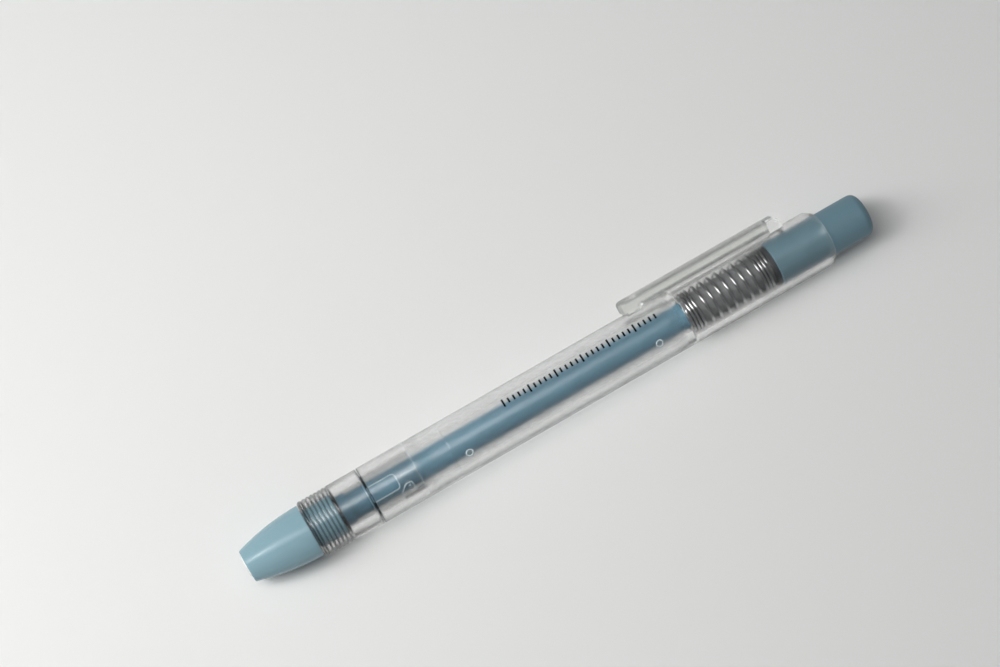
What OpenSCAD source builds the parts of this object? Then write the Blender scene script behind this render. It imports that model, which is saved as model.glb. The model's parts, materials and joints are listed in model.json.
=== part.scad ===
// Click eraser pen with a clear barrel, lying on its side on a table.
// X runs from the eraser's tip to the push button and Z is up.
// The origin is on the table, under the middle of the pen's outline.
// Stations along the pen are counted from the front edge of the nose.

/* [Eraser] */
// Radius of the eraser stick
eraser_r = 1.9; // [1.7:0.05:2]
// Length of the eraser stick
eraser_len = 80; // [60:1:88]
// How far the eraser stands out of the nose
eraser_proud = 0.2; // [0.1:0.1:1]
// Wall of the tube that carries the eraser
tube_wall = 0.325; // [0.25:0.025:0.35]

/* [Nose] */
// Length of the nose in front of the collar
nose_len = 11.85; // [11:0.05:13]
// Radius of the nose at its front edge
nose_tip_r = 2.83; // [2.7:0.01:3]
// Radius of the nose where it meets the collar
nose_root_r = 4.64; // [4.5:0.01:4.75]
// Length of the spigot that plugs into the collar
spigot_len = 5.65; // [5:0.05:6]
// Outer radius of the spigot
spigot_r = 3.65; // [3.6:0.01:3.75]

/* [Collar] */
// Length of the collar's outer part
collar_len = 11.25; // [11:0.05:13]
// Radius of the collar
collar_r = 5.07; // [5:0.01:5.1]
// Number of grip ridges
ridge_count = 6; // [3:1:6]
// Spacing of the grip ridges
ridge_pitch = 0.73; // [0.6:0.01:0.75]
// Depth of the grooves between the ridges
groove_depth = 0.2; // [0.1:0.05:0.3]
// Length of the sleeve that reaches into the barrel
sleeve_len = 8.8; // [8.4:0.1:9.2]
// Outer radius of that sleeve
sleeve_r = 3.55; // [3.5:0.01:3.6]
// Wall of that sleeve
sleeve_wall = 0.5; // [0.4:0.05:0.55]
// Turn that frees the collar from the barrel, in degrees
unlock_turn = 19; // [15:1:20]

/* [Clutch] */
// Wall of the jaws round the eraser
jaw_wall = 0.42; // [0.38:0.01:0.45]
// Length of the slots that split the chuck into jaws
jaw_slot_len = 8.5; // [7:0.1:9]
// Width of those slots
jaw_slot_w = 0.4; // [0.3:0.05:0.5]
// How far the flared head stands out past the jaws
flare = 0.4; // [0.3:0.05:0.45]
// Length of the clutch ring
ring_len = 2.3; // [2:0.1:2.5]
// Wall of the clutch ring
ring_wall = 0.63; // [0.5:0.01:0.65]
// How far the clutch ring rides forward with the chuck
ring_travel = 0.8; // [0.5:0.1:1]

/* [Barrel] */
// Length of the barrel
barrel_len = 87.75; // [86:0.25:90]
// Outer radius of the barrel
barrel_r = 5.1; // [5.1:0.01:5.3]
// Length of the bore that takes the spring and the button
rear_bore_len = 27.7; // [27:0.1:28.5]
// Length of the counterbore that takes the collar's sleeve
counterbore_len = 9.4; // [9.3:0.1:10]
// Length of the narrow guide behind the counterbore
guide_len = 5.55; // [5:0.05:6]
// Radius of the narrow guide
guide_r = 2.8; // [2.75:0.01:2.9]
// Radius of the long middle bore
middle_bore_r = 3.3; // [3.2:0.01:3.4]
// Radial size of the chamfer round the rear rim
rim_chamfer = 0.9; // [0.7:0.05:1]

/* [Clip] */
// Distance from the barrel's rear end to the clip's root
clip_setback = 8.3; // [7:0.1:10]
// Length of the clip arm
clip_len = 28.5; // [27:0.1:29.5]
// Width of the clip
clip_w = 4.2; // [3.6:0.1:4.6]
// Thickness of the clip
clip_t = 1.6; // [1.4:0.05:1.8]
// Gap between the clip arm and the barrel
clip_gap = 0.8; // [0.6:0.05:1]
// Length of the block that joins the clip to the barrel
clip_block_len = 2.4; // [2:0.1:3]
// Turn of the clip round the barrel from straight up, in degrees
clip_turn = 68; // [50:1:80]

/* [Button] */
// Length of the push button
button_len = 18.2; // [17.5:0.1:19]
// Radius of the push button
button_r = 3.875; // [3.8:0.005:3.9]
// How far the button stands out of the barrel
button_out = 8; // [6:0.1:9]
// Radius of the button's rounded end edge
button_round = 1.4; // [0.8:0.1:1.6]
// How far the button is pressed in
press_travel = 3; // [2:0.1:3]
// Length of the neck in front of the button
neck_len = 0.9; // [0.7:0.1:1.2]

/* [Spring] */
// Radius of the spring wire
wire_r = 0.3; // [0.25:0.01:0.3]
// Mean radius of the coils
coil_r = 3.55; // [3.53:0.01:3.6]
// Number of open coils
open_coils = 8; // [5:1:8]
// Number of close coils at each end
end_coils = 3; // [2:1:3]
// Pitch of the close coils
end_pitch = 1.03; // [1.02:0.01:1.04]

/* [Hidden] */

// Clearances
running_gap = 0.1;
slip_gap = 0.03;
grip_gap = 0.03;
seam_gap = 0.15;
seat_gap = 0.05;
ring_slack = 0.07;
head_slack = 0.15;
ring_clear = 0.3;
tail_clear = 0.4;

// Resolution of round faces
$fn = 96;

// Stations along the pen
collar_end = nose_len + collar_len;
barrel_start = collar_end + seam_gap;
barrel_end = barrel_start + barrel_len;
pen_end = barrel_end + button_out;
spigot_end = nose_len + spigot_len;
sleeve_end = collar_end + sleeve_len;
counterbore_end = barrel_start + counterbore_len;
guide_end = counterbore_end + guide_len;
spring_seat = barrel_end - rear_bore_len;
seat_rim = 0.9;
button_start = pen_end - button_len;
neck_start = button_start - neck_len;
clip_root = barrel_end - clip_setback;
clip_front = clip_root - clip_len;

// Radii that fit one another
tube_bore = eraser_r + running_gap;
tube_r = tube_bore + tube_wall;
jaw_bore = eraser_r + grip_gap;
jaw_r = jaw_bore + jaw_wall;
head_r = jaw_r + flare;
ring_bore = jaw_r + ring_slack;
ring_r = ring_bore + ring_wall;
ring_room = ring_r + running_gap;
head_room = head_r + head_slack;
tail_wall = 0.345;
tail_r = tube_r + slip_gap + tail_wall;
guide_sleeve_r = 2.9;
seat_bore = guide_sleeve_r + running_gap;
sleeve_bore = sleeve_r - sleeve_wall;
counterbore_r = sleeve_r + running_gap;
rear_bore = button_r + running_gap;
neck_step = 0.3;
neck_r = button_r - neck_step;
clip_in_r = barrel_r + clip_gap;
clip_out_r = clip_in_r + clip_t;

// Chuck stations
chuck_front = 6.3;
head_flat = 1.1;
head_end = chuck_front + head_flat + 2 * flare;
ring_front = head_end + ring_clear;
ring_back = ring_front + ring_len;
seat_front = ring_back + running_gap;
clutch_seat_len = 2;
tail_front = seat_front + clutch_seat_len + press_travel + tail_clear;
tail_len = 3.2;
tail_stop = 1.1;
tube_start = tail_front + tail_stop;
tube_depth = 4.8;
tube_end = button_start + tube_depth;
head_room_start = chuck_front - press_travel - ring_clear;

// Clip bead, hinge and block
bead_r = 1.5;
bead_back = 1.7;
block_slope = 0.9;
clip_clear = 0.1;
hinge_gap = 0.1;

// Bayonet, in degrees round the pen from straight up towards -Y
window_turn = 10;
window_len = 5.1;
window_w = 2.5;
window_round = 0.6;
lug_r = 0.42;
lug_turn = window_turn + 29;
lug_setback = 6.5;
lug_at = barrel_start + lug_setback;
slot_deep = 1.75;

// Small round mould marks
mark_r = 0.6;
mark_depth = 0.12;
mark_turn = window_turn + 24;
mark_stations = [barrel_start + 17.5, barrel_start + 53.8];

// Place of the pen's axis in the part's frame
clip_half_turn = asin(clip_w / 2 / clip_out_r);
widest_turn = min(90, clip_turn + clip_half_turn);
axis_y = (barrel_r - clip_out_r * sin(widest_turn)) / 2;
axis_z = barrel_r;
middle = (pen_end - eraser_proud) / 2;

// Turns straight up towards -Y, about the pen's axis
module around(turn) { rotate([turn, 0, 0]) children(); }

module on_axis() { translate([-middle, axis_y, axis_z]) children(); }

// A turned piece from points of [radius, station]
module lathe(points) { rotate([0, 90, 0]) rotate_extrude() polygon(points); }

module rod(r, from, to) { translate([from, 0, 0]) rotate([0, 90, 0]) cylinder(r = r, h = to - from); }

module bush(outer, inner, from, to) {
    difference() {
        rod(outer, from, to);
        rod(inner, from - 1, to + 1);
    }
}

// The nose's outline is one arc that runs out level at the collar
nose_arc_r = (nose_len * nose_len + pow(nose_root_r - nose_tip_r, 2)) / (2 * (nose_root_r - nose_tip_r));
tip_round = 0.25;
nose_steps = 14;
function nose_r(x) = nose_root_r - nose_arc_r + sqrt(nose_arc_r * nose_arc_r - pow(nose_len - x, 2));
nose_outline = [for (i = [0 : nose_steps])
    let (x = tip_round + (nose_len - tip_round) * i / nose_steps) [nose_r(x), x]];

module nose_cone() {
    mouth = eraser_r + running_gap;
    inside = [[spigot_r, nose_len], [spigot_r, spigot_end], [ring_room, spigot_end],
        [ring_room, ring_front - ring_travel - 0.2], [head_room, ring_front - ring_travel - 0.2],
        [head_room, head_room_start + 0.6], [mouth, head_room_start], [mouth, 0], [nose_tip_r - tip_round, 0]];
    color([0.56, 0.70, 0.75]) on_axis() lathe(concat(nose_outline, inside));
}

// Grip ridges, each with a groove in front of it
grip_setback = 0.81;
first_groove = nose_len + grip_setback;
groove_w = 0.45;
function groove_points(k) = let (x = first_groove + k * ridge_pitch)
    [[collar_r, x], [collar_r - groove_depth, x + groove_w / 3], [collar_r - groove_depth, x + groove_w * 2 / 3],
     [collar_r, x + groove_w]];

// Flat outline of one bayonet slot, lengthways by round the sleeve, cut straight through its wall
module slot_outline() {
    entry_w = 0.9;
    seat_w = 1.02;
    polygon([[lug_at - slot_deep, slot_half(unlock_turn) + entry_w], [lug_at - slot_deep, 0.35],
        [lug_at - 0.55, -0.62], [lug_at + 0.5, -0.62], [lug_at + 0.55, seat_w], [sleeve_end + 1, seat_w],
        [sleeve_end + 1, slot_half(unlock_turn) + entry_w]]);
}
function slot_half(turn) = sleeve_r * sin(turn);

module bayonet_slot() {
    around(lug_turn) linear_extrude(height = sleeve_r + 1) mirror([0, 1, 0]) slot_outline();
}

module window_cut() {
    around(window_turn)
        translate([collar_end + window_len / 2, 0, sleeve_r / 2])
            linear_extrude(height = sleeve_r)
                square([window_len - 2 * window_round, window_w], center = true);
    for (end = [-1, 1], side = [-1, 1])
        around(window_turn)
            translate([collar_end + window_len / 2 + end * (window_len / 2 - window_round),
                       side * (window_w / 2 - window_round), sleeve_r / 2])
                cylinder(r = window_round, h = sleeve_r);
    for (end = [-1, 1])
        around(window_turn)
            translate([collar_end + window_len / 2 + end * (window_len - window_round) / 2, 0, sleeve_r])
                cube([window_round, window_w - 2 * window_round, sleeve_r], center = true);
}

module front_collar() {
    front_round = 0.3;
    front_len = 0.6;
    grip = [for (k = [0 : ridge_count]) each groove_points(k)];
    outer = concat([[collar_r - front_round, nose_len], [collar_r, nose_len + front_len]], grip,
        [[collar_r, collar_end], [sleeve_r, collar_end], [sleeve_r, sleeve_end], [sleeve_bore, sleeve_end]]);
    inner = [[sleeve_bore, spigot_end + seat_gap], [spigot_r + slip_gap, spigot_end + seat_gap],
        [spigot_r + slip_gap, nose_len]];
    color([0.85, 0.87, 0.87]) on_axis() difference() {
        lathe(concat(outer, inner));
        for (side = [0, 180]) around(side) bayonet_slot();
        window_cut();
    }
}

module clutch_seat() {
    color([0.56, 0.70, 0.75]) on_axis() bush(ring_room - slip_gap, jaw_r + running_gap, seat_front,
        seat_front + clutch_seat_len);
}

module clutch_ring() {
    lead_in = 0.4;
    profile = [[ring_bore + lead_in, ring_front], [ring_r, ring_front], [ring_r, ring_back],
        [ring_bore, ring_back], [ring_bore, ring_front + lead_in]];
    color([0.75, 0.62, 0.35]) on_axis() lathe(profile);
}

module chuck() {
    front_r = head_r - 0.35;
    profile = [[jaw_bore, chuck_front], [front_r, chuck_front], [head_r, chuck_front + 0.35],
        [head_r, chuck_front + head_flat], [jaw_r, head_end], [jaw_r, tail_front], [tail_r, tail_front],
        [tail_r, tail_front + tail_len], [tube_r + slip_gap, tail_front + tail_len],
        [tube_r + slip_gap, tube_start - seat_gap], [jaw_bore, tube_start - seat_gap]];
    color([0.50, 0.64, 0.70]) on_axis() difference() {
        lathe(profile);
        for (k = [0 : 2])
            around(120 * k)
                translate([chuck_front - 1, -jaw_slot_w / 2, 0])
                    cube([jaw_slot_len + 1, jaw_slot_w, head_r + 1]);
    }
}

module eraser_stick() {
    edge = 0.2;
    profile = [[0, -eraser_proud], [eraser_r - edge, -eraser_proud], [eraser_r, edge - eraser_proud],
        [eraser_r, eraser_len - eraser_proud], [0, eraser_len - eraser_proud]];
    color([0.93, 0.93, 0.91]) on_axis() lathe(profile);
}

module eraser_tube() {
    color([0.45, 0.60, 0.67]) on_axis() bush(tube_r, tube_bore, tube_start, tube_end);
}

// The block sits on the barrel, carries the clip and slopes down behind it
module clip_block() {
    foot = barrel_r / 2;
    from = clip_root + hinge_gap;
    to = from + clip_block_len;
    color([0.84, 0.86, 0.86]) on_axis() around(-clip_turn) intersection() {
        bush(clip_out_r, barrel_r + slip_gap, from, to);
        translate([0, clip_w / 2, 0]) rotate([90, 0, 0]) linear_extrude(height = clip_w)
            polygon([[from, foot], [from, clip_out_r], [to - block_slope, clip_out_r],
                [to, clip_out_r - block_slope], [to, foot]]);
    }
}

module barrel_bores() {
    rod(counterbore_r, barrel_start - 1, counterbore_end);
    rod(guide_r, counterbore_end - 1, guide_end);
    rod(middle_bore_r, guide_end, spring_seat - seat_rim);
    rod(seat_bore, spring_seat - seat_rim - 1, spring_seat + 1);
    rod(rear_bore, spring_seat, barrel_end + 1);
}

module barrel() {
    front_edge = 0.1;
    rim_slope = 1.3;
    profile = [[0, barrel_start], [barrel_r - front_edge, barrel_start], [barrel_r, barrel_start + front_edge],
        [barrel_r, barrel_end - rim_slope], [barrel_r - rim_chamfer, barrel_end], [0, barrel_end]];
    color([0.86, 0.88, 0.88]) on_axis() difference() {
        union() {
            difference() {
                lathe(profile);
                barrel_bores();
            }
            for (side = [0, 180])
                around(side + lug_turn) translate([lug_at, 0, sleeve_bore + 0.12])
                    cylinder(r = lug_r, h = counterbore_r + 0.3 - sleeve_bore);
        }
        for (station = mark_stations)
            around(mark_turn) translate([station, 0, barrel_r - mark_depth]) cylinder(r = mark_r, h = 1);
    }
}

module clip_outline() {
    nose = clip_front + clip_w / 2;
    translate([nose, 0]) circle(r = clip_w / 2);
    translate([nose, -clip_w / 2]) square([clip_root - nose, clip_w]);
}

module pocket_clip() {
    color([0.84, 0.86, 0.86]) on_axis() around(-clip_turn) intersection() {
        linear_extrude(height = clip_out_r) clip_outline();
        rod(clip_out_r, clip_front, clip_root);
        union() {
            bush(clip_out_r, clip_in_r, clip_front, clip_root);
            translate([clip_front + bead_back, 0, barrel_r + clip_clear + bead_r])
                rotate([90, 0, 0]) cylinder(r = bead_r, h = clip_w, center = true);
        }
    }
}

// The spring is one wire: its pitch opens after the close coils and shuts again before the last ones
ring_sides = 6;
rings_per_coil = 8;
wire_start = spring_seat + seat_gap + wire_r;
wire_end = neck_start - seat_gap - wire_r;
all_coils = open_coils + 2 * end_coils;
open_pitch = (wire_end - wire_start - 2 * end_coils * end_pitch) / open_coils;
function wire_x(t) = wire_start + end_pitch * min(t, end_coils)
    + open_pitch * max(0, min(t - end_coils, open_coils))
    + end_pitch * max(0, t - end_coils - open_coils);
function wire_point(t) = [wire_x(t), coil_r * sin(360 * t), coil_r * cos(360 * t)];
ring_total = all_coils * rings_per_coil;
wire_rings = [for (i = [0 : ring_total]) wire_point(i / rings_per_coil)];

// Each ring of the wire lies in the plane through the pen's axis
function wire_ring(i) = let (turn = 360 * i / rings_per_coil)
    [for (k = [0 : ring_sides - 1])
        let (side = 360 * k / ring_sides, out = coil_r + wire_r * cos(side))
        [wire_rings[i][0] + wire_r * sin(side), out * sin(turn), out * cos(turn)]];

// Least gap of the wire to itself, from ring centres at least half a coil apart
wire_gap = min([for (i = [0 : ring_total], j = [i + rings_per_coil / 2 : ring_total])
    norm(wire_rings[j] - wire_rings[i])]) - 2 * wire_r;
echo(wire_gap = wire_gap);

module return_spring() {
    points = [for (i = [0 : ring_total]) each wire_ring(i)];
    last = ring_total * ring_sides;
    side_faces = [for (i = [0 : ring_total - 1], k = [0 : ring_sides - 1])
        let (a = i * ring_sides + k, b = i * ring_sides + (k + 1) % ring_sides)
        each [[a, b, b + ring_sides], [a, b + ring_sides, a + ring_sides]]];
    front_cap = [for (k = [1 : ring_sides - 2]) [0, k + 1, k]];
    back_cap = [for (k = [1 : ring_sides - 2]) [last, last + k, last + k + 1]];
    color([0.75, 0.76, 0.77]) on_axis()
        polyhedron(points = points, faces = concat(side_faces, front_cap, back_cap));
}

module guide_sleeve() {
    profile = [[tube_r + slip_gap, spring_seat + running_gap], [guide_sleeve_r, spring_seat + running_gap],
        [guide_sleeve_r, neck_start], [neck_r, neck_start], [neck_r, button_start],
        [tube_r + slip_gap, button_start]];
    color([0.41, 0.41, 0.42]) on_axis() lathe(profile);
}

module push_button() {
    end_wall = 1.5;
    arc_steps = 8;
    end_arc = [for (i = [0 : arc_steps]) let (a = 90 * i / arc_steps)
        [button_r - button_round + button_round * cos(a), pen_end - button_round + button_round * sin(a)]];
    socket = [[0, pen_end], [0, pen_end - end_wall], [tube_bore, pen_end - end_wall],
        [tube_bore, tube_end + seat_gap], [tube_r + slip_gap, tube_end + seat_gap],
        [tube_r + slip_gap, button_start]];
    color([0.40, 0.50, 0.55]) on_axis()
        lathe(concat([[button_r - 0.2, button_start], [button_r, button_start + 0.2]], end_arc, socket));
}

nose_cone();
front_collar();
clutch_seat();
clutch_ring();
chuck();
eraser_stick();
eraser_tube();
barrel();
clip_block();
pocket_clip();
return_spring();
guide_sleeve();
push_button();
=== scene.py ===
import bpy
import json
from math import asin, ceil, cos, degrees, pi, radians, sin, sqrt, tan
from mathutils import Matrix, Vector


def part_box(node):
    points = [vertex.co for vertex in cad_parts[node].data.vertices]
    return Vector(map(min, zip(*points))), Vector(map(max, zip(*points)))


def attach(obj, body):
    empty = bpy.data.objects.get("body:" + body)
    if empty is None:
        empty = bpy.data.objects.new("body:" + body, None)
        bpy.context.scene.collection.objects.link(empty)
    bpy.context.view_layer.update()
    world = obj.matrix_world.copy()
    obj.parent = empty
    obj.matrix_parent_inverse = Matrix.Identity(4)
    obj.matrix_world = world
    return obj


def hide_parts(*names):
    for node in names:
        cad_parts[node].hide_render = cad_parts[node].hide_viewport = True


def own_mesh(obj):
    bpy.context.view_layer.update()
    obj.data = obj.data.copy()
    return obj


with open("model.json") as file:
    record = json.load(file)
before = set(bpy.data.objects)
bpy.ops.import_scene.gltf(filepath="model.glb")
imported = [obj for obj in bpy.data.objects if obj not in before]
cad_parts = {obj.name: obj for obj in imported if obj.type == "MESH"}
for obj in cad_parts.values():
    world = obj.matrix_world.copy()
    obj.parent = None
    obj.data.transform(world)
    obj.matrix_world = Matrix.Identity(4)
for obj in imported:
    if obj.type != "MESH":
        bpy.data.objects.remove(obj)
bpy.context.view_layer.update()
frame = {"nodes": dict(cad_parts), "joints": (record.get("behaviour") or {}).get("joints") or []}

mm = 0.001
seamGap = 0.15  # between collar and barrel

# The pen's axis and its stations, in millimetres from the front edge of the nose
noseBox, collarBox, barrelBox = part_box("nose_cone"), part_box("front_collar"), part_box("barrel")
buttonBox, sleeveBox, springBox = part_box("push_button"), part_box("guide_sleeve"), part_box("return_spring")
clipBox, blockBox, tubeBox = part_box("pocket_clip"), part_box("clip_block"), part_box("eraser_tube")
tipX = noseBox[0][0]
axisY = (barrelBox[0][1] + barrelBox[1][1]) / 2
axisZ = (barrelBox[0][2] + barrelBox[1][2]) / 2


def station(x):
    return (x - tipX) / mm


barrelStart, barrelEnd = station(barrelBox[0][0]), station(barrelBox[1][0])
barrelR = (barrelBox[1][2] - barrelBox[0][2]) / 2 / mm
noseEnd, collarEnd = station(collarBox[0][0]), barrelStart - seamGap
collarSleeveEnd, spigotEnd = station(collarBox[1][0]), station(noseBox[1][0])
buttonStart, penEnd = station(buttonBox[0][0]), station(buttonBox[1][0])
clipTurn = -68  # degrees from straight up towards -Y, as every turn here
lookTurn = 10   # the turn that faces the photograph's camera


def penPoint(x, r, turn):
    swing = radians(turn)
    return Vector((tipX + x * mm, axisY - r * mm * sin(swing), axisZ + r * mm * cos(swing)))


def penTurn(turn):
    return Matrix.Translation((tipX, axisY, axisZ)) @ Matrix.Rotation(radians(turn), 4, "X")


# A socket that does sums, for shader and geometry trees alike
class Value:
    def __init__(self, tree, socket):
        self.tree, self.socket = tree, socket

    def sum(self, operation, other=None, swapped=False):
        pair = [self] if other is None else [other, self] if swapped else [self, other]
        return self.tree.add("ShaderNodeMath", {"operation": operation}, dict(enumerate(pair)))

    def __add__(self, other):
        return self.sum("ADD", other)

    def __sub__(self, other):
        return self.sum("SUBTRACT", other)

    def __rsub__(self, other):
        return self.sum("SUBTRACT", other, True)

    def __mul__(self, other):
        return self.sum("MULTIPLY", other)

    def __truediv__(self, other):
        return self.sum("DIVIDE", other)

    def __rtruediv__(self, other):
        return self.sum("DIVIDE", other, True)

    def __pow__(self, other):
        return self.sum("POWER", other)

    def __neg__(self):
        return self.sum("MULTIPLY", -1.0)

    __radd__, __rmul__ = __add__, __mul__

    def between(self, low, high, soft):
        rise = self.tree.add("ShaderNodeMapRange", {"interpolation_type": "SMOOTHSTEP"},
                             {"Value": self, "From Min": low - soft, "From Max": low + soft})
        fall = self.tree.add("ShaderNodeMapRange", {"interpolation_type": "SMOOTHSTEP"},
                             {"Value": self, "From Min": high + soft, "From Max": high - soft})
        return rise * fall


class Tree:
    def __init__(self, nodeTree):
        self.nodeTree = nodeTree

    def add(self, kind, settings=None, inputs=None, output=0):
        node = self.nodeTree.nodes.new(kind)
        for key, setting in (settings or {}).items():
            if key == "stops":
                ramp = node.color_ramp.elements
                while len(ramp) < len(setting):
                    ramp.new(0.5)
                for stop, (place, colour) in zip(ramp, setting):
                    stop.position, stop.color = place, colour
            else:
                setattr(node, key, setting)
        for key, given in (inputs or {}).items():
            socket = node.inputs[key]
            if isinstance(given, Value):
                self.nodeTree.links.new(given.socket, socket)
            elif given is not None:
                socket.default_value = given
        return Value(self, node.outputs[output]) if len(node.outputs) else node

    def also(self, value, output):
        return Value(self, value.socket.node.outputs[output])


print("stage: materials")


def startMaterial(name):
    material = bpy.data.materials.new(name)
    material.use_nodes = True
    material.node_tree.nodes.clear()
    return material, Tree(material.node_tree)


def finishMaterial(material, tree, shader):
    tree.add("ShaderNodeOutputMaterial", None, {"Surface": shader})
    return material


fineDetail = 2.0


def speckle(tree, scale, detail=3.0, seed=0.0):
    place = tree.add("ShaderNodeTexCoord", output="Object")
    return tree.add("ShaderNodeTexNoise", {"noise_dimensions": "4D"},
                    {"Vector": place, "W": seed, "Scale": scale, "Detail": detail})


def tint(tree, factor, low, high):
    ends = [colour if isinstance(colour, Value) else (*colour, 1) for colour in (low, high)]
    return tree.add("ShaderNodeMix", {"data_type": "RGBA"}, {0: factor, 6: ends[0], 7: ends[1]}, output=2)


def bump(tree, height, distance, strength=1.0):
    return tree.add("ShaderNodeBump", None, {"Height": height, "Distance": distance, "Strength": strength})


# Clear plastics: "spread" is how far the roughness wanders, "shade" what light keeps at each wall
clearLook = {"low": (0.985, 0.99, 0.99), "high": (1.0, 1.0, 1.0), "roughness": 0.09, "spread": 0.012,
             "shade": (0.88, 0.888, 0.888)}
clipLook = {"low": (0.76, 0.77, 0.75), "high": (0.80, 0.81, 0.79), "roughness": 0.22, "spread": 0.06,
            "shade": (0.80, 0.80, 0.79)}
clearGrain = {"ior": 1.49, "cloud": 90.0, "scale": 2500.0, "seed": 3.0, "depth": 0.00000012}
# Painted shade and frost: where the clear plastic's colour is darkened to paint in shade, or it is more frosted:
# (first station, last station, low radius, high radius, dark, frost)
paintedShadeAndFrostBands = [
    (12.55, 17.55, 4.86, 5.02, 0.82, 0),    # floors of the grip's grooves
    (12.26, 17.6, 5.02, 5.2, 0.25, 0),      # tops of the ridges
    (collarEnd - 0.13, barrelStart + 0.13, 3.45, 5.2, 1.0, 0),  # seam of collar and barrel
    (11.86, 12.5, 3.75, 5.2, 0.88, 0),      # seam of nose and collar
    (12.0, 17.6, 3.55, 3.81, 0.5, 0.1),     # socket that holds the nose
    (17.7, 22.9, 2.95, 3.2, 0.45, 0.1),     # bore of the collar's smooth part
    (22.7, 31.95, 2.95, 3.75, 0.08, 0.08),  # collar sleeve and counterbore
    (31.95, 82.0, 2.95, 3.75, 0.08, 0.19),  # bore round the tube
    (83.5, 96.0, 3.85, 4.05, 0.16, 0),      # bore round the spring
    (96.0, 111.3, 3.85, 4.05, 0.4, 0.12),   # bore round the button
    (17.7, 82.5, 5.0, 5.2, 0, 0.16),        # outer face in front of the spring
    (82.5, 112.0, 5.0, 5.2, 0, 0.05)]       # outer face behind it
# Painted shade on the clip: its top and the flank of its bead are darkened, with the same columns as above
clipPaintedShadeBands = [
    (70, 104, 7.22, 7.7, 0.5, 0),           # top of the clip
    (73, 74.75, 5.0, 7.22, 0.4, 0)]         # flank of its bead
# The dark colour that the bands mix in as painted shade, and the softness of the bands' edges
paintedShadeColour, bandEdge = (0.012, 0.020, 0.024), 0.035


def clearPlastic(name, look, bands=()):
    material, tree = startMaterial(name)
    place = tree.add("ShaderNodeSeparateXYZ", None, {0: tree.add("ShaderNodeTexCoord", output="Object")})
    fromAxisY, fromAxisZ = tree.also(place, "Y") - axisY, tree.also(place, "Z") - axisZ
    r = (fromAxisY * fromAxisY + fromAxisZ * fromAxisZ) ** 0.5
    cloud = speckle(tree, clearGrain["cloud"])
    grain = speckle(tree, clearGrain["scale"], fineDetail, clearGrain["seed"])
    colour = tint(tree, cloud, look["low"], look["high"])
    roughness = cloud * look["spread"] + look["roughness"]
    for first, last, low, high, depth, frost in bands:
        inBand = place.between(tipX + first * mm, tipX + last * mm, bandEdge * mm) * r.between(
            low * mm, high * mm, bandEdge * mm)
        # Painted shade: each band darkens the base colour, and its frost adds roughness
        colour = tint(tree, inBand * depth, colour, paintedShadeColour)
        roughness = inBand * frost + roughness
    plastic = tree.add("ShaderNodeBsdfPrincipled", None, {
        "Base Color": colour, "Roughness": roughness, "IOR": clearGrain["ior"],
        "Transmission Weight": 1.0, "Normal": bump(tree, grain, clearGrain["depth"])})
    # Lamps shine through to what lies inside, less what each wall keeps
    shade = tree.add("ShaderNodeLightPath", output="Is Shadow Ray")
    through = tree.add("ShaderNodeBsdfTransparent", None, {"Color": (*look["shade"], 1)})
    return finishMaterial(material, tree, tree.add("ShaderNodeMixShader", None, {0: shade, 1: plastic, 2: through}))


# Solid pieces: a cloudy colour and roughness, and a fine grain of the given scale and depth in metres
noseLook = {"low": (0.246, 0.396, 0.462), "high": (0.264, 0.416, 0.482), "roughness": 0.115, "specular": 0.22,
            "grain": 2500.0, "depth": 0.0000015}
tubeLook = {"low": (0.093, 0.185, 0.245), "high": (0.103, 0.198, 0.259), "roughness": 0.42, "specular": 0.08,
            "grain": 2500.0, "depth": 0.000003}
buttonLook = {"low": (0.136, 0.234, 0.286), "high": (0.150, 0.251, 0.304), "roughness": 0.38, "specular": 0.25,
              "grain": 2200.0, "depth": 0.000003}
sleeveLook = {"low": (0.180, 0.183, 0.187), "high": (0.202, 0.205, 0.209), "roughness": 0.55,
              "grain": 3000.0, "depth": 0.000004}
# Painted shade: the neck of the guide sleeve is coloured near black to paint the dark band where it lies in shade
neckShadeLook = {"low": (0.030, 0.032, 0.036), "high": (0.042, 0.044, 0.048), "roughness": 0.5,
            "grain": 3000.0, "depth": 0.000004}
eraserLook = {"low": (0.80, 0.80, 0.78), "high": (0.86, 0.86, 0.84), "roughness": 0.75, "spread": 0.1,
              "grain": 1800.0, "depth": 0.000012}
inkLook = {"low": (0.006, 0.006, 0.007), "high": (0.010, 0.010, 0.011), "roughness": 0.45, "specular": 0.1,
           "grain": 3000.0, "depth": 0.000002}
# Painted highlight: the pale colour of the fine beads that draw light lines along cut edges, rims and marks
edgeHighlightLook = {"low": (0.48, 0.56, 0.60), "high": (0.56, 0.64, 0.68), "roughness": 0.35,
            "grain": 3000.0, "depth": 0.000002}
brassLook = {"low": (0.55, 0.40, 0.17), "high": (0.62, 0.46, 0.20), "roughness": 0.3, "metallic": 1.0,
             "grain": 2000.0, "depth": 0.000002}
solidGrain = {"cloud": 120.0, "seed": 5.0, "spread": 0.08, "specular": 0.5, "metallic": 0.0}


def solidFinish(name, own):
    look = {**solidGrain, **own}
    material, tree = startMaterial(name)
    cloud = speckle(tree, look["cloud"])
    fine = speckle(tree, look["grain"], fineDetail, look["seed"])
    return finishMaterial(material, tree, tree.add("ShaderNodeBsdfPrincipled", None, {
        "Base Color": tint(tree, cloud, look["low"], look["high"]), "Metallic": look["metallic"],
        "Roughness": cloud * look["spread"] + look["roughness"],
        "Specular IOR Level": look["specular"], "Normal": bump(tree, fine, look["depth"])}))


steelLook = {"low": (0.54, 0.54, 0.545), "high": (0.62, 0.62, 0.625), "roughness": 0.03, "spread": 0.04,
             "grain": 2600.0}


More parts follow.
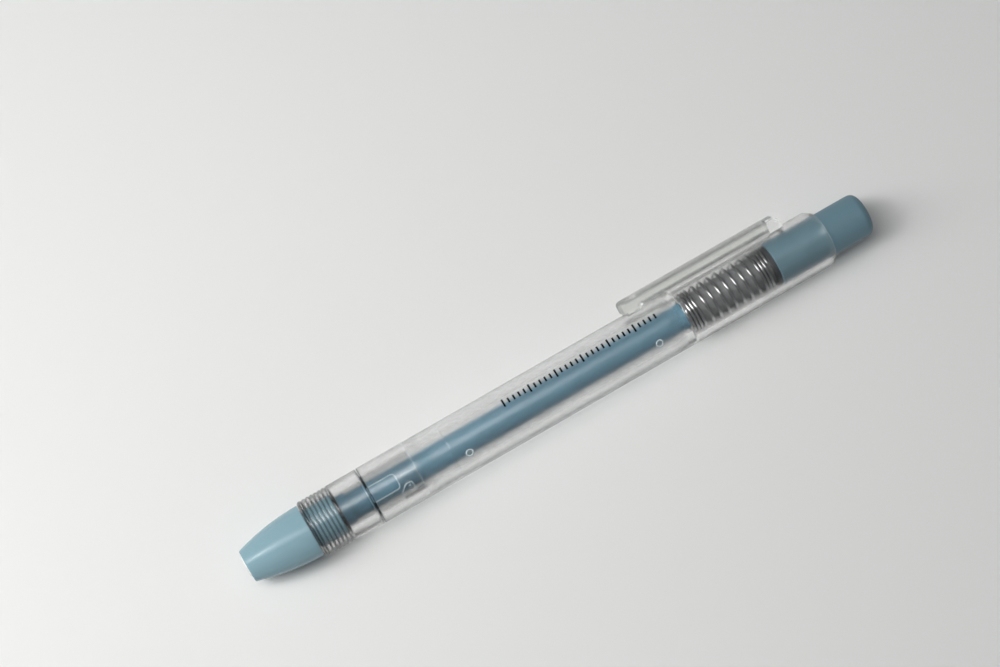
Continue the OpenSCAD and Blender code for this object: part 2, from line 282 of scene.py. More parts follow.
def springSteel(look):
    material, tree = startMaterial("spring steel")
    place = tree.add("ShaderNodeTexCoord", output="Object")
    drawn = tree.add("ShaderNodeTexNoise", None, {"Vector": place, "Scale": look["grain"], "Detail": fineDetail})
    return finishMaterial(material, tree, tree.add("ShaderNodeBsdfPrincipled", None, {
        "Base Color": tint(tree, drawn, look["low"], look["high"]), "Metallic": 1.0,
        "Roughness": drawn * look["spread"] + look["roughness"]}))


# The clear plastic and the clip plastic carry the bands of painted shade
clear = clearPlastic("clear plastic", clearLook, paintedShadeAndFrostBands)
clipClear = clearPlastic("clip plastic", clipLook, clipPaintedShadeBands)
paintedEdgeHighlight = solidFinish("painted edge highlight", edgeHighlightLook)
noseBlue = solidFinish("glossy blue", noseLook)
tubeBlue = solidFinish("satin blue", tubeLook)
buttonBlue = solidFinish("button blue", buttonLook)
sleeveGrey = solidFinish("matte grey", sleeveLook)
neckPaintedShade = solidFinish("neck painted shade", neckShadeLook)
eraserWhite = solidFinish("eraser white", eraserLook)
ink = solidFinish("ink", inkLook)
brass = solidFinish("ring brass", brassLook)
steel = springSteel(steelLook)


print("stage: turned pieces")
turningSteps = 160
arcStep = 18     # degrees of an arc to one side of its outline
sharpAngle = 30  # degrees; sharper edges stay sharp
roundTest = {"tilt": 0.02, "facing": 0.995}  # which faces and corners count as a turned wall
spare = 1        # how far a cutter reaches past what it cuts


# A closed outline of (station, radius, rounding), with its corners rounded
def rounded(outline):
    points = []
    count = len(outline)
    for i, (x, r, round_) in enumerate(outline):
        here = Vector((x, r))
        if not round_:
            points.append(here)
            continue
        back = (Vector(outline[i - 1][:2]) - here).normalized()
        on = (Vector(outline[(i + 1) % count][:2]) - here).normalized()
        half = back.angle(on) / 2
        reach = round_ / tan(half)
        centre = here + (back + on).normalized() * round_ / sin(half)
        start, end = here + back * reach - centre, here + on * reach - centre
        swing = start.angle_signed(end)
        sides = max(2, ceil(abs(swing) / radians(arcStep)))
        for k in range(sides + 1):
            points.append(centre + Matrix.Rotation(-swing * k / sides, 2) @ start)
    return points


# Flips a closed mesh if its faces look inwards
def outward(mesh):
    mesh.calc_loop_triangles()
    corners = [[mesh.vertices[i].co for i in triangle.vertices] for triangle in mesh.loop_triangles]
    if sum(a.dot(b.cross(c)) for a, b, c in corners) < 0:
        mesh.flip_normals()
    return mesh


def meshPiece(name, verts, faces, material, edges=()):
    mesh = bpy.data.meshes.new(name)
    mesh.from_pydata(verts, edges, faces)
    mesh.validate()
    mesh.materials.append(material)
    piece = bpy.data.objects.new(name, outward(mesh))
    bpy.context.scene.collection.objects.link(piece)
    return piece


# Smooth up to an angle, and large faces keep true normals
def smoothed(piece, angle):
    piece.data.shade_smooth()
    piece.data.set_sharp_from_angle(angle=radians(angle))
    weighted = piece.modifiers.new("weighted", "WEIGHTED_NORMAL")
    weighted.keep_sharp = True
    return piece


# Gives turned walls the normals of a true round, also where cuts have split their faces
def trueRound(piece):
    mesh = piece.data
    mesh.shade_smooth()
    mesh.set_sharp_from_angle(angle=radians(sharpAngle))
    normals = [Vector(corner.vector) for corner in mesh.corner_normals]
    for face in mesh.polygons:
        if abs(face.normal.x) > roundTest["tilt"]:
            continue
        for corner in face.loop_indices:
            point = mesh.vertices[mesh.loops[corner].vertex_index].co
            outwards = Vector((0, point.y - axisY, point.z - axisZ)).normalized()
            side = outwards.dot(face.normal)
            if abs(side) > roundTest["facing"]:
                normals[corner] = outwards if side > 0 else -outwards
    mesh.normals_split_custom_set(normals)
    return piece


def turned(name, outline, material, steps=turningSteps):
    points = rounded(outline)
    verts, rings = [], []
    for point in points:
        if point.y < 1e-6:  # on the axis
            rings.append([len(verts)] * steps)
            verts.append(penPoint(point.x, 0, 0))
        else:
            rings.append([len(verts) + k for k in range(steps)])
            verts.extend(penPoint(point.x, point.y, 360 * k / steps) for k in range(steps))
    faces = []
    for near, far in zip(rings, rings[1:] + rings[:1]):
        for k in range(steps):
            corners = [near[k], far[k], far[(k + 1) % steps], near[(k + 1) % steps]]
            corners = list(dict.fromkeys(corners))
            if len(corners) > 2:
                faces.append(corners)
    return meshPiece(name, verts, faces, material)


def finished(piece, body, *nodes):
    smoothed(piece, sharpAngle)
    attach(piece, body)
    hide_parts(*nodes)
    return piece


def applied(piece):
    graph = bpy.context.evaluated_depsgraph_get()
    mesh = bpy.data.meshes.new_from_object(piece.evaluated_get(graph))
    piece.modifiers.clear()
    piece.data = outward(mesh)
    return piece


def cutAway(piece, *cutters, operation="DIFFERENCE"):
    for cutter in cutters:
        cut = piece.modifiers.new("cut", "BOOLEAN")
        cut.operation, cut.object, cut.solver = operation, cutter, "EXACT"
        applied(piece)
        bpy.data.objects.remove(cutter)
    return piece


def bevelled(piece, width, segments, angle):
    bevel = piece.modifiers.new("edge", "BEVEL")
    bevel.width, bevel.segments, bevel.limit_method = width * mm, segments, "ANGLE"
    bevel.angle_limit = radians(angle)
    return applied(piece)


# A prism through the pen's wall: a flat outline of (station, across), from one radius to another
def prism(name, outline, turn, low, high, material):
    place = penTurn(turn)
    count = len(outline)
    verts = [place @ Vector((x * mm, -y * mm, r * mm)) for r in (low, high) for x, y in outline]
    area = sum(a[0] * b[1] - b[0] * a[1] for a, b in zip(outline, outline[1:] + outline[:1]))
    top, bottom = list(range(count, 2 * count)), list(range(count))
    sides = [[k, (k + 1) % count, count + (k + 1) % count, count + k] for k in range(count)]
    faces = [bottom[::-1], top] + sides
    if area > 0:
        faces = [face[::-1] for face in faces]
    return meshPiece(name, verts, faces, material)


def flatRounded(corners):
    return [(point.x, point.y) for point in rounded(corners)]


noseShape = {"tipR": 2.83, "rootR": 4.64, "spigotR": 3.65, "wall": 0.5, "edge": 0.3, "arcSides": 40,
             "mouthR": 2.0, "mouthEnd": 3.0, "narrowR": 2.9, "narrowStart": 3.6, "narrowEnd": 7.5, "roomStart": 7.6}


def makeNose():
    shape = noseShape
    rise = shape["rootR"] - shape["tipR"]
    arcR = (noseEnd ** 2 + rise ** 2) / (2 * rise)
    sides, edge = shape["arcSides"], shape["edge"]
    outer = []
    for k in range(1, sides + 1):
        x = edge + (noseEnd - edge) * k / sides
        outer.append((x, shape["rootR"] - arcR + sqrt(arcR ** 2 - (noseEnd - x) ** 2), 0))
    spigot, room, narrow = shape["spigotR"], shape["spigotR"] - shape["wall"], shape["narrowR"]
    inner = [(noseEnd, spigot, 0), (spigotEnd, spigot, 0.12), (spigotEnd, room, 0.1), (shape["roomStart"], room, 0),
             (shape["narrowEnd"], narrow, 0), (shape["narrowStart"], narrow, 0),
             (shape["mouthEnd"], shape["mouthR"], 0.1), (0, shape["mouthR"], 0.12), (0, shape["tipR"], edge)]
    return finished(turned("noseShell", outer + inner, noseBlue), "collar", "nose_cone")


collarShape = {"r": 5.07, "frontR": 4.72, "frontGap": 0.07, "socketGap": 0.03, "sleeveR": 3.55, "sleeveWall": 0.5,
               "firstGroove": 1.035, "grooves": 7, "pitch": 0.73, "grooveDepth": 0.16, "grooveW": 0.46,
               "windowW": 2.5, "windowLen": 5.1, "windowRound": 0.6, "slotTurn": 39, "slotAt": 6.5,
               "slotMouth": (1.02, 2.05), "slotFloor": 1.5, "cutEdge": 0.08, "windowStart": 0.02}
# The slot's bends as (along from slotAt, across, rounding)
slotBends = ((-1.75, 2.05, 0.25), (-1.75, 0.35, 0.25), (-0.55, -0.62, 0.3), (0.5, -0.62, 0.3), (0.55, 1.02, 0.2))


def gripOutline():
    shape = collarShape
    points = []
    for k in range(shape["grooves"]):
        x = noseEnd + shape["firstGroove"] + k * shape["pitch"]
        points += [(x - shape["grooveW"] / 2, shape["r"], 0.2), (x, shape["r"] - shape["grooveDepth"], 0.05),
                   (x + shape["grooveW"] / 2, shape["r"], 0.2)]
    return points


# The window and one bayonet slot, as (station, across) on the sleeve
def windowOutline():
    shape = collarShape
    halfW, start, end = shape["windowW"] / 2, collarEnd + shape["windowStart"], collarEnd + shape["windowLen"]
    return flatRounded([(start, -halfW, 0.1), (end, -halfW, shape["windowRound"]),
                        (end, halfW, shape["windowRound"]), (start, halfW, 0.1)])


def slotOutline():
    at, rear = barrelStart + collarShape["slotAt"], collarSleeveEnd + spare
    near, far = collarShape["slotMouth"]
    return flatRounded([(rear, far, 0)] + [(at + x, y, round_) for x, y, round_ in slotBends] + [(rear, near, 0)])


def makeCollar():
    shape = collarShape
    sleeveIn = shape["sleeveR"] - shape["sleeveWall"]
    socketR = noseShape["spigotR"] + shape["socketGap"]
    front = noseEnd + shape["frontGap"]
    outline = [(front, shape["frontR"], 0.15), (front + 0.35, shape["r"], 0.35)] + gripOutline() + [
        (collarEnd, shape["r"], 0.12), (collarEnd, shape["sleeveR"], 0.1),
        (collarSleeveEnd, shape["sleeveR"], 0.2), (collarSleeveEnd, sleeveIn, 0.12),
        (spigotEnd + 0.35, sleeveIn, 0.2), (spigotEnd + 0.05, socketR, 0.06), (front, socketR, 0.1)]
    collar = turned("gripCollar", outline, clear)
    cutTop = shape["sleeveR"] + spare
    cutters = [prism("window", windowOutline(), lookTurn, sleeveIn - spare, cutTop, clear)]
    for side in (0, 180):
        cutters.append(prism("slot", slotOutline(), side + shape["slotTurn"], shape["slotFloor"], cutTop, clear))
    cutAway(collar, *cutters)
    bevelled(collar, shape["cutEdge"], 2, 60)
    trueRound(collar)
    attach(collar, "collar")
    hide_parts("front_collar")
    return collar


barrelShape = {"counterboreR": 3.65, "counterboreEnd": 32.65, "guideR": 3.2, "guideEnd": 38.2, "middleR": 3.3,
               "seat": 83.3, "seatRim": 0.9, "seatR": 3.0, "rearR": 3.975, "chamfer": 0.9, "chamferLen": 1.3,
               "lugAt": 6.5, "lugTurn": 39, "lugR": 0.42, "lugReach": (3.17, 3.95), "markR": 0.55, "markWire": 0.2,
               "markTurn": 34, "marks": (40.75, 77.05), "steps": 360}


def disc(name, x, turn, r, low, high):
    ring = [(x + r * cos(radians(a)), r * sin(radians(a))) for a in range(0, 360, 15)]
    return prism(name, ring, turn, low, high, clear)


# A ring that lies on the barrel's surface, to cut a round groove with
def ringTool(name, x, turn, ringR, wireR, at, around=32, sides=12):
    place = penTurn(turn)
    verts = []
    for i in range(around):
        for j in range(sides):
            reach = ringR + wireR * cos(2 * pi * j / sides)
            up = at + wireR * sin(2 * pi * j / sides)
            verts.append(place @ Vector(((x + reach * cos(2 * pi * i / around)) * mm,
                                         reach * sin(2 * pi * i / around) * mm, up * mm)))
    faces = [[i * sides + j, (i + 1) % around * sides + j, (i + 1) % around * sides + (j + 1) % sides,
              i * sides + (j + 1) % sides] for i in range(around) for j in range(sides)]
    return meshPiece(name, verts, faces, clear)


clipShape = {"w": 4.2, "t": 1.6, "gap": 0.8, "blockSlope": 0.9, "blockGap": 0.03, "beadBack": 1.7, "beadFlat": 1.3,
             "beadSlope": 2.1, "beadClear": 0.1, "edge": 0.18, "endRound": 0.97, "spareTurn": 4}


def bentBlock(name, section, half, turn, material, across=14):
    verts, faces = [], []
    count = len(section)
    for j in range(across + 1):
        swing = -half + 2 * half * j / across
        verts += [penPoint(x, r, turn + swing) for x, r in section]
    for j in range(across):
        for k in range(count):
            a, b = j * count + k, j * count + (k + 1) % count
            faces.append([a, b, b + count, a + count])
    faces += [list(range(count))[::-1], [across * count + k for k in range(count)]]
    area = sum(a[0] * b[1] - b[0] * a[1] for a, b in zip(section, section[1:] + section[:1]))
    if area > 0:
        faces = [face[::-1] for face in faces]
    return meshPiece(name, verts, faces, material)


def makeBarrel():
    shape = barrelShape
    start, end = barrelStart, barrelEnd
    outline = [(start, barrelR, 0.1), (end - shape["chamferLen"], barrelR, 1.4),
               (end, barrelR - shape["chamfer"], 0.3), (end, shape["rearR"], 0.08),
               (shape["seat"], shape["rearR"], 0.06), (shape["seat"], shape["seatR"], 0.15),
               (shape["seat"] - shape["seatRim"], shape["seatR"], 0.8),
               (shape["seat"] - shape["seatRim"] - 2, shape["middleR"], 2),
               (shape["guideEnd"] + 0.2, shape["middleR"], 0.3), (shape["guideEnd"], shape["guideR"], 0.3),
               (shape["counterboreEnd"] + 2, shape["guideR"], 2),
               (shape["counterboreEnd"], shape["counterboreR"], 1.5), (start, shape["counterboreR"], 0.08)]
    barrel = turned("clearBarrel", outline, clear, shape["steps"])
    for side in (0, 180):
        lug = disc("lug", start + shape["lugAt"], side + shape["lugTurn"], shape["lugR"], *shape["lugReach"])
        cutAway(barrel, lug, operation="UNION")
    for x in shape["marks"]:
        cutAway(barrel, ringTool("mark", x, shape["markTurn"], shape["markR"], shape["markWire"], barrelR))
    trueRound(barrel)
    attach(barrel, "barrel")
    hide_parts("barrel")
    return barrel


print("stage: clear pieces")
makeNose()
makeCollar()
makeBarrel()


def makeClipBlock():
    shape = clipShape
    outR = barrelR + shape["gap"] + shape["t"]
    half = degrees(asin(shape["w"] / 2 / outR))
    start, end = station(blockBox[0][0]), station(blockBox[1][0])
    footR, slope = barrelR + shape["blockGap"], shape["blockSlope"]
    section = flatRounded([(start, footR, 0), (start, outR, 0.15), (end - slope, outR, 0.4), (end, outR - slope, 0.3),
                           (end, footR, 0)])
    block = bentBlock("clipBlock", section, half, clipTurn, clear)
    return finished(block, "barrel", "clip_block")


def makeClip():
    shape = clipShape
    lowR = barrelR + shape["gap"]
    outR = lowR + shape["t"]
    front, root = station(clipBox[0][0]), station(clipBox[1][0])
    beadX = front + shape["beadBack"]
    beadLow = barrelR + shape["beadClear"]
    section = flatRounded([(root, lowR, 0.1), (root, outR, 0.15), (front, outR, 1.0), (front, beadLow, 0.9),
                           (beadX + shape["beadFlat"], beadLow, 1.2), (beadX + shape["beadSlope"], lowR, 0.6)])
    half = degrees(asin(shape["w"] / 2 / outR))
    arm = bentBlock("clipArm", section, half + shape["spareTurn"], clipTurn, clipClear, across=24)
    w = shape["w"] / 2
    endRound = shape["endRound"] * w
    plan = flatRounded([(front, -w, endRound), (root + spare, -w, 0), (root + spare, w, 0), (front, w, endRound)])
    outlineTool = prism("plan", plan, clipTurn, barrelR - spare, outR + spare, clipClear)
    cutAway(arm, outlineTool, operation="INTERSECT")
    bevelled(arm, shape["edge"], 3, 40)
    return finished(arm, "clip", "pocket_clip")


makeClipBlock()
makeClip()

print("stage: inner pieces")
tubeShape = {"r": 2.325, "bore": 2.0}


def makeTube():
    start, end = station(tubeBox[0][0]), station(tubeBox[1][0])
    shape = tubeShape
    tube = turned("eraserTube", [(start, shape["r"], 0.05), (end, shape["r"], 0.05), (end, shape["bore"], 0.05),
                                 (start, shape["bore"], 0.05)], tubeBlue)
    return finished(tube, "drive", "eraser_tube")


def makeEraser():
    low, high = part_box("eraser_stick")
    r = (high[2] - low[2]) / 2 / mm
    stick = turned("eraserStick", [(station(low[0]), 0, 0), (station(low[0]), r, 0.3), (station(high[0]), r, 0.1),
                                   (station(high[0]), 0, 0)], eraserWhite)
    return finished(stick, "eraser", "eraser_stick")


sleeveShape = {"r": 2.9, "bore": 2.355, "neckR": 3.575, "neckLen": 0.9}


def makeSleeve():
    shape = sleeveShape
    start, end = station(sleeveBox[0][0]), station(sleeveBox[1][0])
    neckStart = end - shape["neckLen"]
    sleeve = turned("guideSleeve", [(start, shape["r"], 0.1), (neckStart, shape["r"], 0.05),
                    (neckStart, shape["neckR"], 0.1), (end, shape["neckR"], 0.1),
                    (end, shape["bore"], 0), (start, shape["bore"], 0.05)], sleeveGrey)
    sleeve.data.materials.append(neckPaintedShade)
    for face in sleeve.data.polygons:
        if face.center.x > tipX + (neckStart - 0.02) * mm:
            face.material_index = 1  # the neck's painted shade, near black
    return finished(sleeve, "drive", "guide_sleeve")


buttonShape = {"r": 3.875, "endRound": 1.4, "socketR": 2.355, "socketLen": 4.85, "wellR": 2.0, "endWall": 1.5}


def makeButton():
    shape = buttonShape
    start, end = buttonStart, penEnd
    floorAt, socketEnd = end - shape["endWall"], start + shape["socketLen"]
    button = turned("pushButton", [(start, shape["r"], 0.2), (end, shape["r"], shape["endRound"]), (end, 0, 0),
                    (floorAt, 0, 0), (floorAt, shape["wellR"], 0.1), (socketEnd, shape["wellR"], 0),
                    (socketEnd, shape["socketR"], 0), (start, shape["socketR"], 0.05)], buttonBlue)
    return finished(button, "drive", "push_button")


makeTube()
makeEraser()
makeSleeve()
makeButton()

for node, look in (("chuck", tubeBlue), ("clutch_ring", brass), ("clutch_seat", noseBlue)):
    mesh = frame["nodes"][node].data
    mesh.materials.clear()
    mesh.materials.append(look)


print("stage: spring and scale")


def startGeometry(name, inputs):
    group = bpy.data.node_groups.new(name, "GeometryNodeTree")
    group.interface.new_socket("Geometry", in_out="OUTPUT", socket_type="NodeSocketGeometry")
    group.interface.new_socket("Path", in_out="INPUT", socket_type="NodeSocketGeometry")
    for label, (kind, start) in inputs.items():
        socket = group.interface.new_socket(label, in_out="INPUT", socket_type="NodeSocket" + kind)
        socket.default_value = start
    tree = Tree(group)
    source = group.nodes.new("NodeGroupInput")
    named = {label: Value(tree, source.outputs[label]) for label in ("Path", *inputs)}
    return group, tree, named


# Runs a tree, on a path of points or on nothing, and keeps the result as a plain mesh
def grown(name, group, tree, geometry, material, values, points=(), edges=()):
    real = tree.add("GeometryNodeRealizeInstances", None, {"Geometry": geometry})
    painted = tree.add("GeometryNodeSetMaterial", None, {"Geometry": real, "Material": material})
    sink = group.nodes.new("NodeGroupOutput")
    group.links.new(painted.socket, sink.inputs[0])
    piece = meshPiece(name, points, [], material, edges)
    growth = piece.modifiers.new("growth", "NODES")
    growth.node_group = group
    for item in group.interface.items_tree:
        if item.in_out == "INPUT" and item.name in values:
            growth[item.identifier] = values[item.name]
    return applied(piece)


springShape = {"coilR": 3.52, "wireR": 0.26, "wireSides": 14, "endCoils": 3.0, "openCoils": 8.0, "endPitch": 0.62,
               "sidesPerCoil": 48}


def makeSpring():
    shape = springShape
    first = station(springBox[0][0]) + shape["wireR"]
    last = station(springBox[1][0]) - shape["wireR"]
    coils = shape["openCoils"] + 2 * shape["endCoils"]
    openPitch = (last - first - 2 * shape["endCoils"] * shape["endPitch"]) / shape["openCoils"]
    group, tree, given = startGeometry("springWire", {
        "Coils": ("Float", 14.0), "End Coils": ("Float", 3.0), "Open Coils": ("Float", 8.0), "Points": ("Int", 600),
        "End Pitch": ("Float", 0.0006), "Open Pitch": ("Float", 0.0015), "Coil Radius": ("Float", 0.0035),
        "Wire Radius": ("Float", 0.0003), "Wire Sides": ("Int", 14), "Start": ("Vector", (0.0, 0.0, 0.0))})
    line = tree.add("GeometryNodeMeshLine", None, {"Count": given["Points"]})
    spot = tree.add("GeometryNodeInputIndex") / (given["Points"] - 1.0) * given["Coils"]
    opened = (spot - given["End Coils"]).sum("MAXIMUM", 0.0).sum("MINIMUM", given["Open Coils"])
    along = (spot - opened) * given["End Pitch"] + opened * given["Open Pitch"]
    turn = spot * (2 * pi)
    coilR = given["Coil Radius"]
    wirePoint = tree.add("ShaderNodeCombineXYZ", None, {
        "X": along, "Y": -(turn.sum("SINE") * coilR), "Z": turn.sum("COSINE") * coilR})
    place = tree.add("ShaderNodeVectorMath", {"operation": "ADD"}, {0: wirePoint, 1: given["Start"]})
    wound = tree.add("GeometryNodeSetPosition", None, {"Geometry": line, "Position": place})
    curve = tree.add("GeometryNodeMeshToCurve", None, {"Mesh": wound})
    ring = tree.add("GeometryNodeCurvePrimitiveCircle", None, {
        "Resolution": given["Wire Sides"], "Radius": given["Wire Radius"]})
    wire = tree.add("GeometryNodeCurveToMesh", None, {"Curve": curve, "Profile Curve": ring, "Fill Caps": True})
    smooth = tree.add("GeometryNodeSetShadeSmooth", None, {"Geometry": wire})
    spring = grown("returnSpring", group, tree, smooth, steel, {
        "Coils": coils, "End Coils": shape["endCoils"], "Open Coils": shape["openCoils"],
        "Points": int(coils * shape["sidesPerCoil"]) + 1, "End Pitch": shape["endPitch"] * mm,
        "Open Pitch": openPitch * mm, "Coil Radius": shape["coilR"] * mm, "Wire Radius": shape["wireR"] * mm,
        "Wire Sides": shape["wireSides"], "Start": penPoint(first, 0, 0)})
    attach(spring, "barrel")
    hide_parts("return_spring")
    press = next(joint for joint in frame["joints"] if joint["name"] == "button_press")
    keep = 1 - press["range_m"][1] / mm / (last - first + 2 * shape["wireR"])
    foot = tuple(penPoint(first - shape["wireR"], 0, 0))
    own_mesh(spring)
    return spring


scaleShape = {"start": 49.6, "length": 29.6, "turn": -17, "step": 1.0, "every": 5, "tickW": 0.32, "tickH": 0.95,
              "tallH": 1.55, "thick": 0.02, "lift": 0.6}  # the lift is a share of the thickness


def makeScale():
    shape = scaleShape
    group, tree, given = startGeometry("tickScale", {
        "Count": ("Int", 30), "Step": ("Float", 0.001), "Every": ("Int", 5), "Width": ("Float", 0.0002),
        "Short": ("Float", 0.001), "Tall": ("Float", 0.0015), "Thickness": ("Float", 0.00001),
        "Surface": ("Float", 0.005), "Turn": ("Float", 0.0), "Start": ("Vector", (0.0, 0.0, 0.0))})
    line = tree.add("GeometryNodeMeshLine", None, {"Count": given["Count"], "Offset": (0.001, 0.0, 0.0)})
    index = tree.add("GeometryNodeInputIndex")
    spread = tree.add("ShaderNodeCombineXYZ", None, {"X": index * given["Step"], "Y": 0.0, "Z": 0.0})
    row = tree.add("GeometryNodeSetPosition", None, {"Geometry": line, "Position": spread})
    fifth = index.sum("MODULO", given["Every"]).sum("LESS_THAN", 0.5)
    height = given["Short"] + fifth * (given["Tall"] - given["Short"])
    tick = tree.add("GeometryNodeMeshCube", None, {
        "Size": (1.0, 1.0, 1.0), "Vertices X": 2, "Vertices Y": 8, "Vertices Z": 2})
    size = tree.add("ShaderNodeCombineXYZ", None, {"X": given["Width"], "Y": height, "Z": given["Thickness"]})
    ticks = tree.add("GeometryNodeInstanceOnPoints", None, {"Points": row, "Instance": tick, "Scale": size})
    flat = tree.add("GeometryNodeRealizeInstances", None, {"Geometry": ticks})
    spot = tree.add("ShaderNodeSeparateXYZ", None, {0: tree.add("GeometryNodeInputPosition")})
    across, up = tree.also(spot, "Y"), tree.also(spot, "Z")
    r = up + given["Surface"]
    turn = given["Turn"] + across / given["Surface"]
    bent = tree.add("ShaderNodeCombineXYZ", None, {
        "X": tree.also(spot, "X"), "Y": -(turn.sum("SINE") * r), "Z": turn.sum("COSINE") * r})
    place = tree.add("ShaderNodeVectorMath", {"operation": "ADD"}, {0: bent, 1: given["Start"]})
    wrapped = tree.add("GeometryNodeSetPosition", None, {"Geometry": flat, "Position": place})
    ticksPiece = grown("tickScale", group, tree, wrapped, ink, {
        "Count": int(shape["length"] / shape["step"]) + 1, "Step": shape["step"] * mm, "Every": shape["every"],
        "Width": shape["tickW"] * mm, "Short": shape["tickH"] * mm, "Tall": shape["tallH"] * mm,
        "Thickness": shape["thick"] * mm, "Surface": (barrelR + shape["thick"] * shape["lift"]) * mm,
        "Turn": radians(shape["turn"]), "Start": penPoint(shape["start"], 0, 0)})
    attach(ticksPiece, "barrel")
    return ticksPiece


beadShape = {"r": 0.055, "sides": 8, "inset": 0.02, "rimBack": 0.08, "rimIn": 0.05, "rimTurns": (-142, 15),
             "rimSteps": 40, "markWire": 0.05, "markIn": 0.08, "markSteps": 24, "endR": 4.07, "endIn": 0.08,
             "endWire": 0.05, "endSteps": 120}


# A fine bead along each path of points, as the mould leaves it; its pale colour paints the light line along these
# edges, rims and marks (painted highlight)
def beads(name, body, paths, r):
    points, edges = [], []
    for path, closed in paths:
        first = len(points)
        points += path
        edges += [(first + k, first + k + 1) for k in range(len(path) - 1)]
        if closed:
            edges.append((len(points) - 1, first))
    group, tree, given = startGeometry(name, {"Bead Radius": ("Float", 0.00005), "Sides": ("Int", 8)})
    curve = tree.add("GeometryNodeMeshToCurve", None, {"Mesh": given["Path"]})
    ring = tree.add("GeometryNodeCurvePrimitiveCircle", None, {
        "Resolution": given["Sides"], "Radius": given["Bead Radius"]})
    bead = tree.add("GeometryNodeCurveToMesh", None, {"Curve": curve, "Profile Curve": ring, "Fill Caps": True})
    smooth = tree.add("GeometryNodeSetShadeSmooth", None, {"Geometry": bead})
    sizes = {"Bead Radius": r * mm, "Sides": beadShape["sides"]}
    piece = grown(name, group, tree, smooth, paintedEdgeHighlight, sizes, points, edges)
    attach(piece, body)
    return piece


def makeBeads():
    shape, cuts = beadShape, collarShape
    onR = cuts["sleeveR"] - shape["inset"]
    paths = []
    for outline, turns, closed in ((windowOutline(), (lookTurn,), True),
                                   (slotOutline()[1:-1], (cuts["slotTurn"], cuts["slotTurn"] + 180), False)):
        for turn in turns:
            paths.append(([penPoint(x, onR, turn + degrees(asin(y / onR))) for x, y in outline], closed))
    rim, steps = collarSleeveEnd - shape["rimBack"], shape["rimSteps"]
    for side in (0, 180):
        first, last = (side + cuts["slotTurn"] + turn for turn in shape["rimTurns"])
        paths.append(([penPoint(rim, onR - shape["rimIn"], first + (last - first) * k / steps)
                       for k in range(steps + 1)], False))
    beads("sleeveBeads", "collar", paths, shape["r"])
    markPaths = []
    place, ringR, steps = penTurn(barrelShape["markTurn"]), barrelShape["markR"], shape["markSteps"]
    for x in barrelShape["marks"]:
        ring = [2 * pi * k / steps for k in range(steps)]
        markPaths.append(([place @ Vector(((x + ringR * cos(a)) * mm, ringR * sin(a) * mm,
                                           sqrt((barrelR - shape["markIn"]) ** 2 - (ringR * sin(a)) ** 2) * mm))
                           for a in ring], True))
    beads("markBeads", "barrel", markPaths, shape["markWire"])
    end, steps = barrelEnd - shape["endIn"], shape["endSteps"]
    endPath = [penPoint(end, shape["endR"], 360 * k / steps) for k in range(steps)]
    beads("endBead", "barrel", [(endPath, True)], shape["endWire"])


makeSpring()
makeScale()
makeBeads()


print("stage: floor, light and camera")
floorLook = {"size": 1.6, "colour": (0.80, 0.805, 0.80), "lift": 1.02, "cloud": 14.0, "roughness": 0.6}


def makeFloor():
    material, tree = startMaterial("pale floor")
    cloud = speckle(tree, floorLook["cloud"])
    lifted = tuple(c * floorLook["lift"] for c in floorLook["colour"])
    material = finishMaterial(material, tree, tree.add("ShaderNodeBsdfPrincipled", None, {
        "Base Color": tint(tree, cloud, floorLook["colour"], lifted), "Roughness": floorLook["roughness"]}))
    half = floorLook["size"] / 2
    floor = meshPiece("floor", [(-half, -half, 0), (half, -half, 0), (half, half, 0), (-half, half, 0)],
                      [(0, 1, 2, 3)], material)


# "fade" is the pane's glow as (distance from its middle, level), where 0.5 is its edge
roomLook = {"colour": (0.96, 0.98, 1.0), "strength": 0.19, "turn": -14, "distance": 0.36, "along": -0.235,
            "size": (0.26, 0.95), "power": 51.5, "tint": (1.0, 0.995, 0.98),
            "fade": ((0.0, 0.6), (0.04, 0.55), (0.07, 0.13), (0.30, 0.085), (0.5, 0.0))}


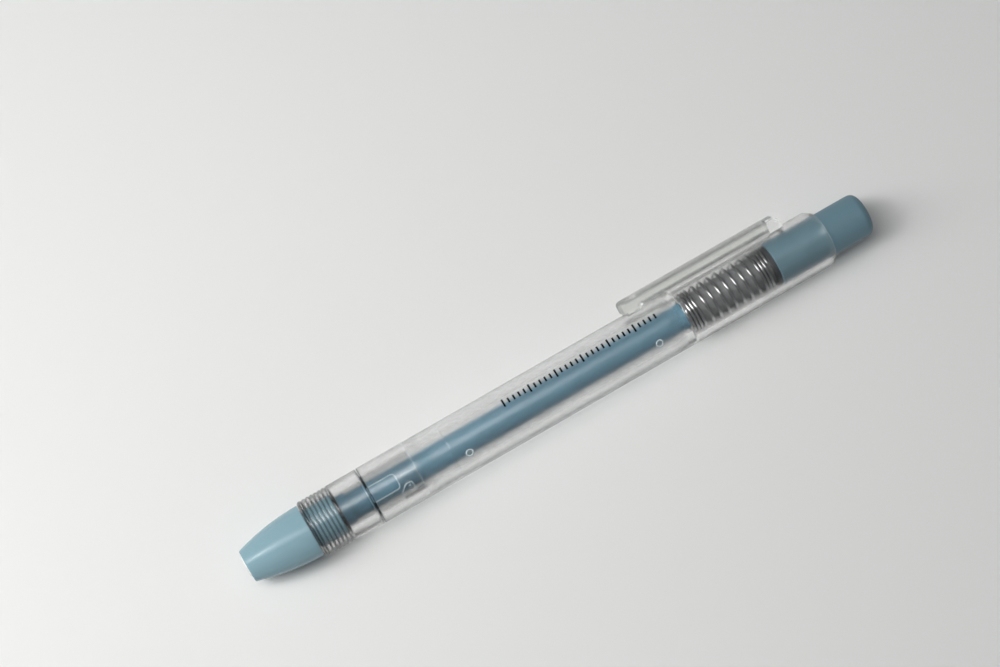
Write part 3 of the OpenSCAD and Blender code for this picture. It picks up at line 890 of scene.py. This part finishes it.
# A window of soft light: a pane whose glow fades towards its edges, unseen by the camera itself
def makeLight():
    world = bpy.data.worlds.new("room")
    bpy.context.scene.world = world
    world.use_nodes = True
    sky = world.node_tree.nodes["Background"].inputs
    sky["Color"].default_value, sky["Strength"].default_value = (*roomLook["colour"], 1), roomLook["strength"]
    material, tree = startMaterial("window glow")
    place = tree.add("ShaderNodeTexCoord", output="UV")
    middle = tree.add("ShaderNodeVectorMath", {"operation": "DISTANCE"}, {0: place, 1: (0.5, 0.5, 0.0)},
                      output="Value")
    stops = [(at, (*(level * share for share in roomLook["tint"]), 1)) for at, level in roomLook["fade"]]
    glow = tree.add("ShaderNodeValToRGB", {"stops": stops}, {0: middle})
    lit = tree.add("ShaderNodeEmission", None, {"Color": glow, "Strength": roomLook["power"]})
    finishMaterial(material, tree, lit)
    halfX, halfY = roomLook["size"][0] / 2, roomLook["size"][1] / 2
    pane = meshPiece("window", [(-halfX, -halfY, 0), (halfX, -halfY, 0), (halfX, halfY, 0), (-halfX, halfY, 0)],
                     [(3, 2, 1, 0)], material)
    corners = pane.data.uv_layers.new(name="pane")
    for corner, at in zip(corners.data, ((0, 1), (1, 1), (1, 0), (0, 0))):
        corner.uv = at
    swing, distance = radians(roomLook["turn"]), roomLook["distance"]
    away = Vector((roomLook["along"], -sin(swing) * distance, cos(swing) * distance))
    pane.data.transform(Matrix.Translation(away) @ away.to_track_quat("Z", "Y").to_matrix().to_4x4())
    pane.visible_camera = False


# The photograph's camera, in millimetres: its distance from the pen, the station below it and the one that it
# looks at, how far off the axis, as a tangent, and how the pen lies in the picture
view = {"distance": 430.5, "footAt": 13.1, "lookAt": 55.3, "offAxis": 76 / 2600, "penAngle": 29.72, "focal": 93.6,
        "sensor": 36.0}


def makeCamera():
    camera = bpy.data.objects.new("camera", bpy.data.cameras.new("camera"))
    bpy.context.scene.collection.objects.link(camera)
    bpy.context.scene.camera = camera
    camera.data.lens, camera.data.sensor_width = view["focal"], view["sensor"]
    spot = penPoint(view["footAt"], view["distance"], lookTurn)
    towards = (penPoint(view["lookAt"], 0, 0) - spot).normalized()
    alongPen = Vector((1, 0, 0))
    clipSide = alongPen.cross(towards).normalized()
    look = (towards + clipSide * view["offAxis"]).normalized()
    penInPicture = (alongPen - look * alongPen.dot(look)).normalized()
    acrossPen = (-look).cross(penInPicture)
    lean = radians(view["penAngle"])
    right = penInPicture * cos(lean) - acrossPen * sin(lean)
    up = penInPicture * sin(lean) + acrossPen * cos(lean)
    turn = Matrix((right, up, -look)).transposed().to_4x4()
    camera.matrix_world = Matrix.Translation(spot) @ turn


makeFloor()
makeLight()
makeCamera()
bpy.context.scene.view_settings.view_transform = "Standard"
